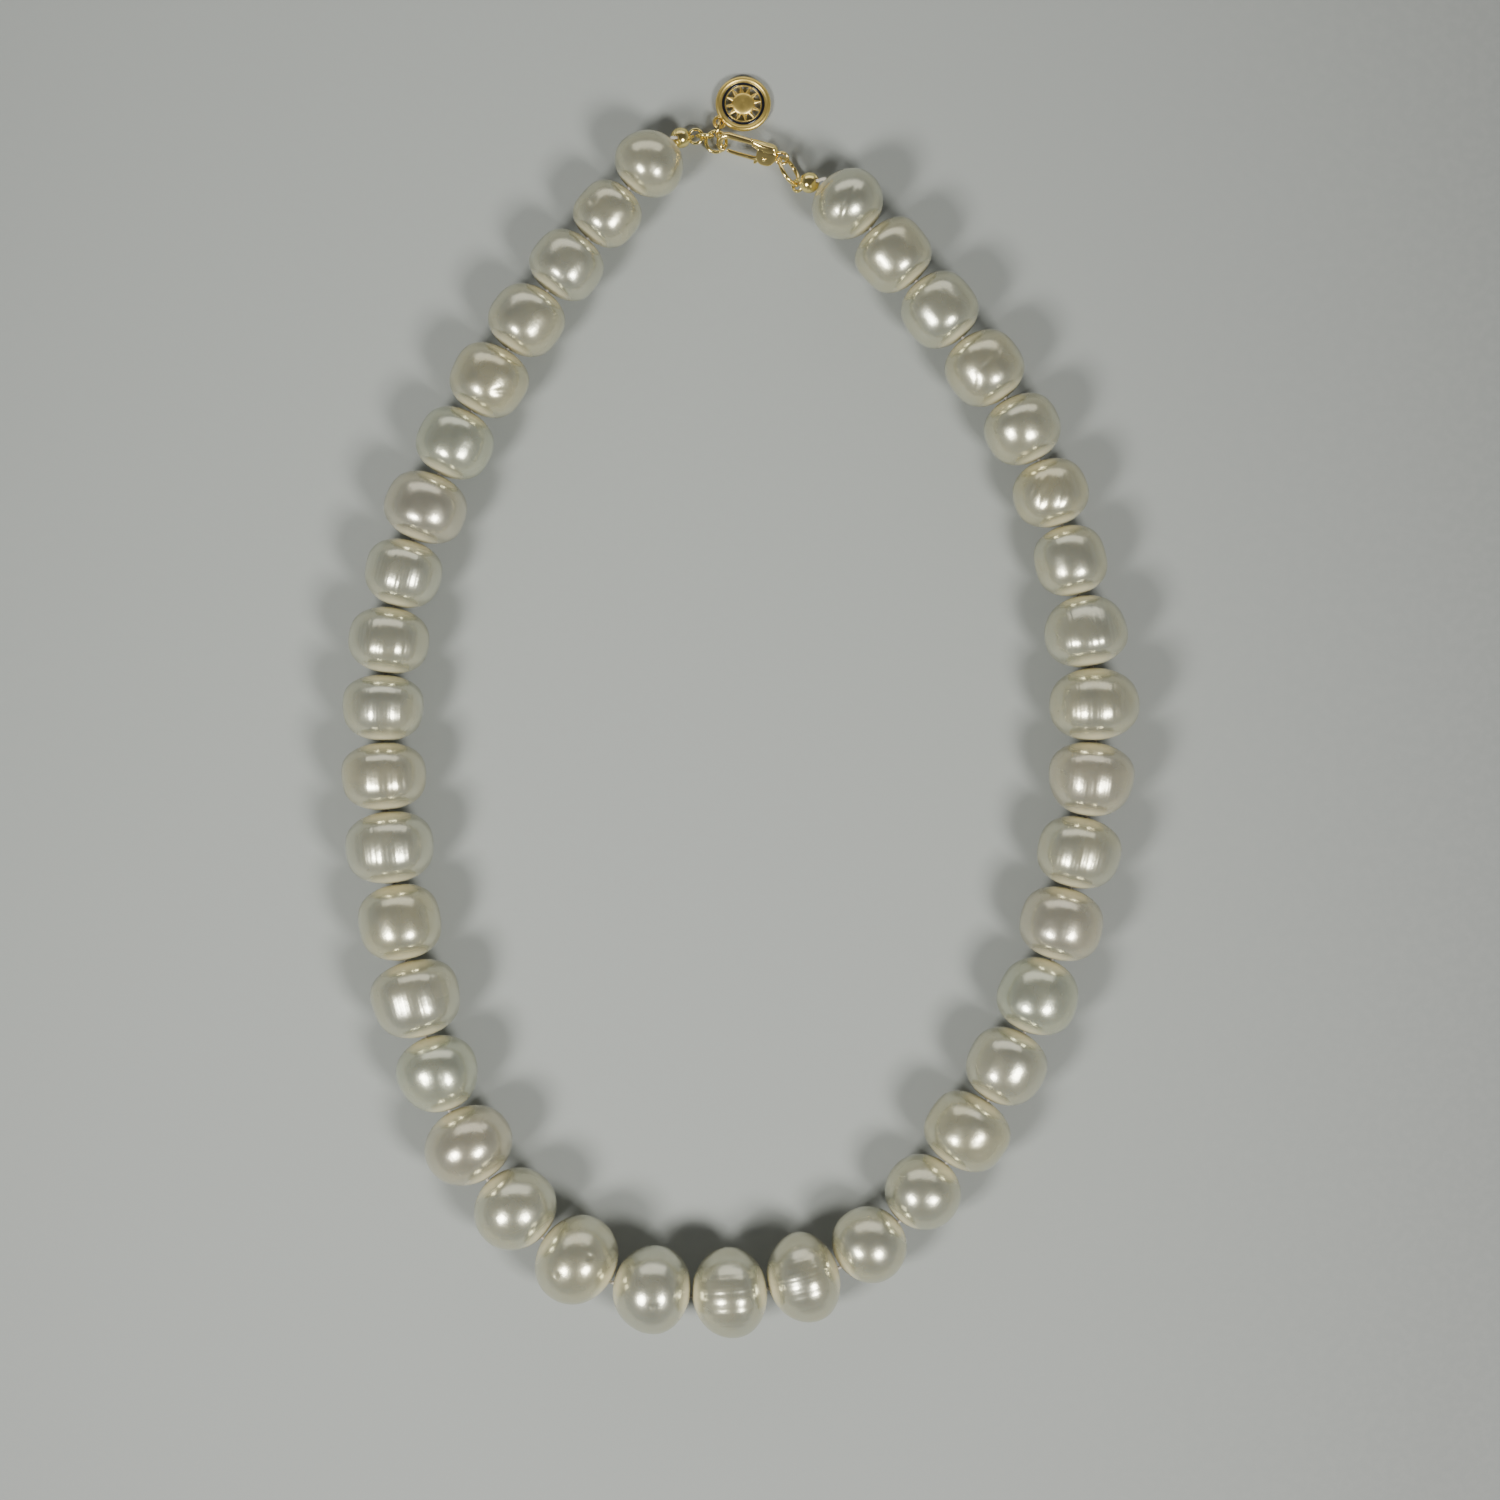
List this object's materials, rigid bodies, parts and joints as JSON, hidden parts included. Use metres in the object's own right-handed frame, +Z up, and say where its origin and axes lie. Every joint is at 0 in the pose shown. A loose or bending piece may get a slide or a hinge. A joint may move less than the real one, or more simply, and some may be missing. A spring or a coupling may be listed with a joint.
{
  "type": "pearl necklace",
  "caption": "A strand of drilled pearls on one thread, closed by a gold lobster clasp, with thread covers, jump rings and a small enamelled sun charm.",
  "frame": {"origin": "middle of the whole necklace in plan, on the table it lies on", "axes": "X to the right as seen from above with the clasp at the top, Y from the front pearls to the clasp, Z up from the table"},
  "size_m": [0.1112, 0.1772, 0.0131],
  "materials": {
    "nacre": "lustrous",
    "thread_silk": "matt",
    "yellow_gold": "polished",
    "satin_gold": "satin",
    "navy_enamel": "gloss",
    "spring_steel": "bright"
  },
  "bodies": {
    "front": {"pearl_20": "nacre", "thread": "thread_silk"},
    "pearl_19": {"pearl_19": "nacre"},
    "pearl_18": {"pearl_18": "nacre"},
    "pearl_17": {"pearl_17": "nacre"},
    "pearl_16": {"pearl_16": "nacre"},
    "pearl_15": {"pearl_15": "nacre"},
    "pearl_14": {"pearl_14": "nacre"},
    "pearl_13": {"pearl_13": "nacre"},
    "pearl_12": {"pearl_12": "nacre"},
    "pearl_11": {"pearl_11": "nacre"},
    "pearl_10": {"pearl_10": "nacre"},
    "pearl_09": {"pearl_09": "nacre"},
    "pearl_08": {"pearl_08": "nacre"},
    "pearl_07": {"pearl_07": "nacre"},
    "pearl_06": {"pearl_06": "nacre"},
    "pearl_05": {"pearl_05": "nacre"},
    "pearl_04": {"pearl_04": "nacre"},
    "pearl_03": {"pearl_03": "nacre"},
    "pearl_02": {"pearl_02": "nacre"},
    "pearl_01": {"pearl_01": "nacre"},
    "left_tip": {"left_tip": "yellow_gold", "left_crimp": "yellow_gold"},
    "link_near_tip": {"link_near_tip": "yellow_gold"},
    "link_near_ring": {"link_near_ring": "yellow_gold"},
    "end_ring": {"end_ring": "yellow_gold"},
    "charm_ring": {"charm_ring": "yellow_gold"},
    "charm": {"charm_frame": "satin_gold", "charm_enamel": "navy_enamel"},
    "pearl_21": {"pearl_21": "nacre"},
    "pearl_22": {"pearl_22": "nacre"},
    "pearl_23": {"pearl_23": "nacre"},
    "pearl_24": {"pearl_24": "nacre"},
    "pearl_25": {"pearl_25": "nacre"},
    "pearl_26": {"pearl_26": "nacre"},
    "pearl_27": {"pearl_27": "nacre"},
    "pearl_28": {"pearl_28": "nacre"},
    "pearl_29": {"pearl_29": "nacre"},
    "pearl_30": {"pearl_30": "nacre"},
    "pearl_31": {"pearl_31": "nacre"},
    "pearl_32": {"pearl_32": "nacre"},
    "pearl_33": {"pearl_33": "nacre"},
    "pearl_34": {"pearl_34": "nacre"},
    "pearl_35": {"pearl_35": "nacre"},
    "pearl_36": {"pearl_36": "nacre"},
    "pearl_37": {"pearl_37": "nacre"},
    "pearl_38": {"pearl_38": "nacre"},
    "right_tip": {"right_tip": "yellow_gold", "right_crimp": "yellow_gold"},
    "clasp_ring": {"clasp_ring": "yellow_gold"},
    "clasp": {"clasp_body": "yellow_gold", "clasp_pin": "yellow_gold", "clasp_spring": "spring_steel"},
    "clasp_lever": {"clasp_lever": "yellow_gold"}
  },
  "joints": [
    {"name": "clasp_lever_hinge", "type": "hinge", "parent": "clasp", "child": "clasp_lever", "pos_m": [0.00347, 0.0769, 0.00221], "axis": [0.1645, 0.5933, -0.788], "range_deg": [0, 14], "stiffness_Nm_per_rad": 0.0006, "springref_deg": -20.05, "deforming": ["clasp_spring"]},
    {"name": "left_tip_swing", "type": "hinge", "parent": "pearl_01", "child": "left_tip", "pos_m": [-0.00959, 0.07919, 0.00531], "axis": [0, 0, 1], "range_deg": [0, 15], "deforming": ["thread"]},
    {"name": "link_near_tip_swing", "type": "hinge", "parent": "left_tip", "child": "link_near_tip", "pos_m": [-0.00723, 0.07986, 0.0001], "axis": [0, 0, 1], "range_deg": [0, 15]},
    {"name": "link_near_ring_swing", "type": "hinge", "parent": "link_near_tip", "child": "link_near_ring", "pos_m": [-0.0061, 0.08005, 0.0001], "axis": [0, 0, 1], "range_deg": [0, 15]},
    {"name": "end_ring_swing", "type": "hinge", "parent": "link_near_ring", "child": "end_ring", "pos_m": [-0.00471, 0.0799, 0.0001], "axis": [0, 0, 1], "range_deg": [0, 12]},
    {"name": "charm_ring_swing", "type": "hinge", "parent": "end_ring", "child": "charm_ring", "pos_m": [-0.00329, 0.07987, 0.0001], "axis": [0, 0, 1], "range_deg": [-8, 20]},
    {"name": "charm_swing", "type": "hinge", "parent": "charm_ring", "child": "charm", "pos_m": [-0.00303, 0.08133, 0.001], "axis": [0, 0, 1], "range_deg": [-6, 8]},
    {"name": "right_tip_swing", "type": "hinge", "parent": "pearl_38", "child": "right_tip", "pos_m": [0.01187, 0.07339, 0.00576], "axis": [0, 0, 1], "range_deg": [-6, 8], "deforming": ["thread"]},
    {"name": "clasp_ring_swing", "type": "hinge", "parent": "right_tip", "child": "clasp_ring", "pos_m": [0.00806, 0.07293, 0.0001], "axis": [0, 0, 1], "range_deg": [-8, 15]},
    {"name": "clasp_swing", "type": "hinge", "parent": "clasp_ring", "child": "clasp", "pos_m": [0.00586, 0.07674, 0.0001], "axis": [0, 0, 1], "range_deg": [-5, 12]},
    {"name": "bend_19_20", "type": "hinge", "parent": "front", "child": "pearl_19", "pos_m": [-0.0068, -0.08276, 0.00664], "axis": [0, 0, 1], "range_deg": [0, 20], "deforming": ["thread"]},
    {"name": "bend_18_19", "type": "hinge", "parent": "pearl_19", "child": "pearl_18", "pos_m": [-0.0179, -0.08079, 0.00669], "axis": [0, 0, 1], "range_deg": [0, 27], "deforming": ["thread"]},
    {"name": "bend_17_18", "type": "hinge", "parent": "pearl_18", "child": "pearl_17", "pos_m": [-0.02752, -0.07456, 0.00659], "axis": [0, 0, 1], "range_deg": [0, 17], "deforming": ["thread"]},
    {"name": "bend_16_17", "type": "hinge", "parent": "pearl_17", "child": "pearl_16", "pos_m": [-0.03522, -0.06648, 0.00651], "axis": [0, 0, 1], "range_deg": [0, 19], "deforming": ["thread"]},
    {"name": "bend_15_16", "type": "hinge", "parent": "pearl_16", "child": "pearl_15", "pos_m": [-0.04055, -0.05691, 0.00636], "axis": [0, 0, 1], "range_deg": [0, 15], "deforming": ["thread"]},
    {"name": "bend_14_15", "type": "hinge", "parent": "pearl_15", "child": "pearl_14", "pos_m": [-0.04386, -0.04653, 0.00631], "axis": [0, 0, 1], "range_deg": [0, 7], "deforming": ["thread"]},
    {"name": "bend_13_14", "type": "hinge", "parent": "pearl_14", "child": "pearl_13", "pos_m": [-0.04662, -0.03591, 0.00634], "axis": [0, 0, 1], "range_deg": [0, 9], "deforming": ["thread"]},
    {"name": "bend_12_13", "type": "hinge", "parent": "pearl_13", "child": "pearl_12", "pos_m": [-0.04839, -0.02519, 0.00626], "axis": [0, 0, 1], "range_deg": [0, 7], "deforming": ["thread"]},
    {"name": "bend_11_12", "type": "hinge", "parent": "pearl_12", "child": "pearl_11", "pos_m": [-0.04951, -0.01499, 0.00631], "axis": [0, 0, 1], "range_deg": [0, 7], "deforming": ["thread"]},
    {"name": "bend_10_11", "type": "hinge", "parent": "pearl_11", "child": "pearl_10", "pos_m": [-0.05004, -0.00533, 0.00614], "axis": [0, 0, 1], "range_deg": [0, 9], "deforming": ["thread"]},
    {"name": "bend_09_10", "type": "hinge", "parent": "pearl_10", "child": "pearl_09", "pos_m": [-0.0497, 0.00414, 0.00604], "axis": [0, 0, 1], "range_deg": [0, 10], "deforming": ["thread"]},
    {"name": "bend_08_09", "type": "hinge", "parent": "pearl_09", "child": "pearl_08", "pos_m": [-0.04834, 0.01353, 0.00589], "axis": [0, 0, 1], "range_deg": [0, 11], "deforming": ["thread"]},
    {"name": "bend_07_08", "type": "hinge", "parent": "pearl_08", "child": "pearl_07", "pos_m": [-0.04575, 0.02286, 0.00591], "axis": [0, 0, 1], "range_deg": [0, 10], "deforming": ["thread"]},
    {"name": "bend_06_07", "type": "hinge", "parent": "pearl_07", "child": "pearl_06", "pos_m": [-0.04209, 0.03203, 0.00586], "axis": [0, 0, 1], "range_deg": [0, 9], "deforming": ["thread"]},
    {"name": "bend_05_06", "type": "hinge", "parent": "pearl_06", "child": "pearl_05", "pos_m": [-0.03762, 0.04083, 0.00574], "axis": [0, 0, 1], "range_deg": [0, 7], "deforming": ["thread"]},
    {"name": "bend_04_05", "type": "hinge", "parent": "pearl_05", "child": "pearl_04", "pos_m": [-0.03257, 0.04954, 0.00566], "axis": [0, 0, 1], "range_deg": [0, 8], "deforming": ["thread"]},
    {"name": "bend_03_04", "type": "hinge", "parent": "pearl_04", "child": "pearl_03", "pos_m": [-0.02703, 0.0577, 0.00549], "axis": [0, 0, 1], "range_deg": [0, 7], "deforming": ["thread"]},
    {"name": "bend_02_03", "type": "hinge", "parent": "pearl_03", "child": "pearl_02", "pos_m": [-0.02141, 0.06507, 0.00521], "axis": [0, 0, 1], "range_deg": [0, 6], "deforming": ["thread"]},
    {"name": "bend_01_02", "type": "hinge", "parent": "pearl_02", "child": "pearl_01", "pos_m": [-0.01566, 0.07207, 0.00514], "axis": [0, 0, 1], "range_deg": [0, 5], "deforming": ["thread"]},
    {"name": "bend_20_21", "type": "hinge", "parent": "front", "child": "pearl_21", "pos_m": [0.00392, -0.08173, 0.00669], "axis": [0, 0, -1], "range_deg": [0, 15], "deforming": ["thread"]},
    {"name": "bend_21_22", "type": "hinge", "parent": "pearl_21", "child": "pearl_22", "pos_m": [0.01392, -0.07877, 0.00624], "axis": [0, 0, -1], "range_deg": [0, 25], "deforming": ["thread"]},
    {"name": "bend_22_23", "type": "hinge", "parent": "pearl_22", "child": "pearl_23", "pos_m": [0.02226, -0.07238, 0.00579], "axis": [0, 0, -1], "range_deg": [0, 18], "deforming": ["thread"]},
    {"name": "bend_23_24", "type": "hinge", "parent": "pearl_23", "child": "pearl_24", "pos_m": [0.02881, -0.06416, 0.00606], "axis": [0, 0, -1], "range_deg": [0, 9], "deforming": ["thread"]},
    {"name": "bend_24_25", "type": "hinge", "parent": "pearl_24", "child": "pearl_25", "pos_m": [0.0346, -0.05544, 0.00614], "axis": [0, 0, -1], "range_deg": [0, 9], "deforming": ["thread"]},
    {"name": "bend_25_26", "type": "hinge", "parent": "pearl_25", "child": "pearl_26", "pos_m": [0.03976, -0.04597, 0.00594], "axis": [0, 0, -1], "range_deg": [0, 12], "deforming": ["thread"]},
    {"name": "bend_26_27", "type": "hinge", "parent": "pearl_26", "child": "pearl_27", "pos_m": [0.04358, -0.03578, 0.00606], "axis": [0, 0, -1], "range_deg": [0, 10], "deforming": ["thread"]},
    {"name": "bend_27_28", "type": "hinge", "parent": "pearl_27", "child": "pearl_28", "pos_m": [0.0462, -0.02575, 0.00616], "axis": [0, 0, -1], "range_deg": [0, 6], "deforming": ["thread"]},
    {"name": "bend_28_29", "type": "hinge", "parent": "pearl_28", "child": "pearl_29", "pos_m": [0.04842, -0.01582, 0.00626], "axis": [0, 0, -1], "range_deg": [0, 10], "deforming": ["thread"]},
    {"name": "bend_29_30", "type": "hinge", "parent": "pearl_29", "child": "pearl_30", "pos_m": [0.04964, -0.0053, 0.00646], "axis": [0, 0, -1], "range_deg": [0, 13], "deforming": ["thread"]},
    {"name": "bend_30_31", "type": "hinge", "parent": "pearl_30", "child": "pearl_31", "pos_m": [0.04921, 0.00509, 0.00634], "axis": [0, 0, -1], "range_deg": [0, 12], "deforming": ["thread"]},
    {"name": "bend_31_32", "type": "hinge", "parent": "pearl_31", "child": "pearl_32", "pos_m": [0.04737, 0.0151, 0.00576], "axis": [0, 0, -1], "range_deg": [0, 7], "deforming": ["thread"]},
    {"name": "bend_32_33", "type": "hinge", "parent": "pearl_32", "child": "pearl_33", "pos_m": [0.04505, 0.0249, 0.00554], "axis": [0, 0, -1], "range_deg": [0, 10], "deforming": ["thread"]},
    {"name": "bend_33_34", "type": "hinge", "parent": "pearl_33", "child": "pearl_34", "pos_m": [0.04184, 0.03404, 0.00571], "axis": [0, 0, -1], "range_deg": [0, 13], "deforming": ["thread"]},
    {"name": "bend_34_35", "type": "hinge", "parent": "pearl_34", "child": "pearl_35", "pos_m": [0.03719, 0.04266, 0.00576], "axis": [0, 0, -1], "range_deg": [0, 11], "deforming": ["thread"]},
    {"name": "bend_35_36", "type": "hinge", "parent": "pearl_35", "child": "pearl_36", "pos_m": [0.03119, 0.05112, 0.00569], "axis": [0, 0, -1], "range_deg": [0, 8], "deforming": ["thread"]},
    {"name": "bend_36_37", "type": "hinge", "parent": "pearl_36", "child": "pearl_37", "pos_m": [0.02469, 0.05906, 0.00564], "axis": [0, 0, -1], "range_deg": [0, 6], "deforming": ["thread"]},
    {"name": "bend_37_38", "type": "hinge", "parent": "pearl_37", "child": "pearl_38", "pos_m": [0.01831, 0.06632, 0.00571], "axis": [0, 0, -1], "range_deg": [0, 5], "deforming": ["thread"]}
  ]
}
